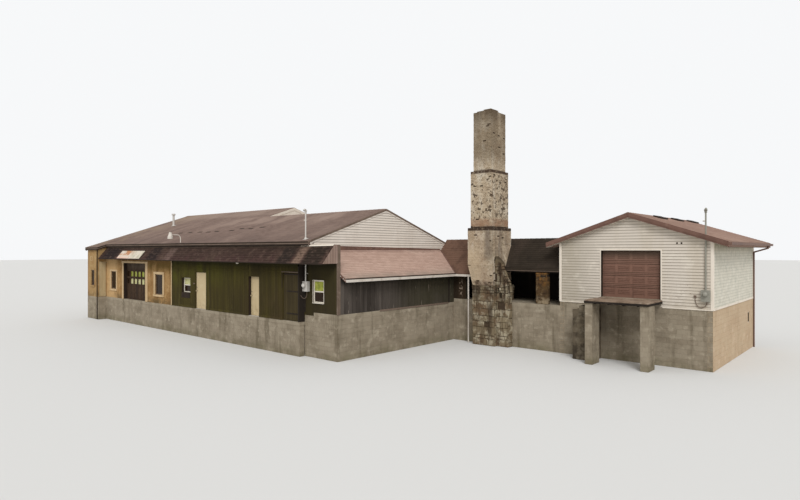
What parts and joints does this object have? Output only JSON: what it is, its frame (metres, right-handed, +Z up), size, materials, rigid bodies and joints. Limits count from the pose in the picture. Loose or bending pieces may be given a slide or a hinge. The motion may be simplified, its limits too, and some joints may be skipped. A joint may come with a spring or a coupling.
{
  "type": "factory building",
  "caption": "Long single-storey factory wing with mansard front, a corner lean-to, a stepped square chimney, an open link shed and a gabled annex on a block basement with a loading dock.",
  "frame": {"origin": "middle of the bounding box, on the lowest ground", "axes": "+X along the long front wall towards the annex, +Y towards the back, +Z up"},
  "size_m": [39.57, 18.77, 12.16],
  "materials": {
    "concrete": "weathered grey concrete",
    "tan_stucco": "stained tan stucco",
    "bay_stucco": "stained cream stucco",
    "dark_boards": "dark olive-brown grooved boards, weathered",
    "weathered_boards": "charcoal boards, weathered",
    "gable_siding": "pale grey lap siding",
    "annex_siding": "cream lap siding, stained",
    "main_shingles": "grey-brown asphalt shingles",
    "mansard_shingles": "dark brown shingles",
    "pale_shingles": "faded pink-tan shingles",
    "link_shingles": "dark red-brown shingles",
    "annex_shingles": "brown shingles",
    "white_metal": "white paint, stained",
    "brown_metal": "brown paint",
    "grey_metal": "galvanised grey",
    "dark_overhead": "dark brown stained panels",
    "brown_overhead": "brown paint, dull",
    "cream_door": "cream paint, stained",
    "plank_boards": "dark planks",
    "frame_paint": "pale paint",
    "window_glass": "clear, dark behind",
    "steel_pins": "dull steel",
    "chimney_masonry": "beige weathered masonry, darker at the top",
    "rubble_stone": "broken rubble stone",
    "pier_masonry": "brown and orange stained masonry",
    "beige_block": "painted beige block",
    "dark_timber": "dark timber"
  },
  "bodies": {
    "building": {"long_foundation": "concrete", "cross_foundation": "concrete", "lean_to_foundation": "concrete", "floor_slabs": "concrete", "bay_wall": "bay_stucco", "tan_wall": "tan_stucco", "tan_lintel": "tan_stucco", "board_wall": "dark_boards", "board_wall_heads": "dark_boards", "corner_wall": "dark_boards", "left_end_wall": "tan_stucco", "back_walls": "tan_stucco", "return_gable_wall": "gable_siding", "end_gable_wall": "gable_siding", "lean_to_wall": "weathered_boards", "front_roof": "main_shingles", "back_roofs": "main_shingles", "mansard": "mansard_shingles", "lean_to_roof": "pale_shingles", "lean_to_gutter": "white_metal", "front_overhead_door": "dark_overhead", "hinge_pins": "steel_pins", "window_frames": "frame_paint", "window_glass": "window_glass", "roof_vent": "grey_metal", "yard_light": "white_metal", "service_masts": "grey_metal", "meter_boxes": "grey_metal", "chimney_base": "rubble_stone", "chimney_stack": "chimney_masonry", "link_foundation": "concrete", "link_front_roof": "link_shingles", "link_back_roof": "link_shingles", "link_back_wall": "dark_timber", "link_pier": "pier_masonry", "link_beam": "dark_timber", "annex_basement_sides": "beige_block", "annex_basement_ends": "beige_block", "annex_side_walls": "annex_siding", "annex_end_walls": "annex_siding", "annex_front_gable": "annex_siding", "annex_left_roof": "annex_shingles", "annex_right_roof": "annex_shingles", "annex_gutters": "brown_metal", "annex_overhead_door": "brown_overhead", "dock_slab": "concrete", "dock_piers": "concrete", "dock_steps": "concrete"},
    "first_door": {"man_door_one": "cream_door"},
    "second_door": {"man_door_two": "cream_door"},
    "boarded_door": {"plank_door": "plank_boards"}
  },
  "joints": [
    {"name": "first_door_hinge", "type": "hinge", "parent": "building", "child": "first_door", "pos_m": [-4.179, -8.619, 2.6], "axis": [0, 0, 1], "range_deg": [0, 90]},
    {"name": "second_door_hinge", "type": "hinge", "parent": "building", "child": "second_door", "pos_m": [0.851, -8.524, 2.6], "axis": [0, 0, 1], "range_deg": [0, 90]},
    {"name": "boarded_door_hinge", "type": "hinge", "parent": "building", "child": "boarded_door", "pos_m": [3.921, -8.619, 2.6], "axis": [0, 0, 1], "range_deg": [0, 90]}
  ]
}
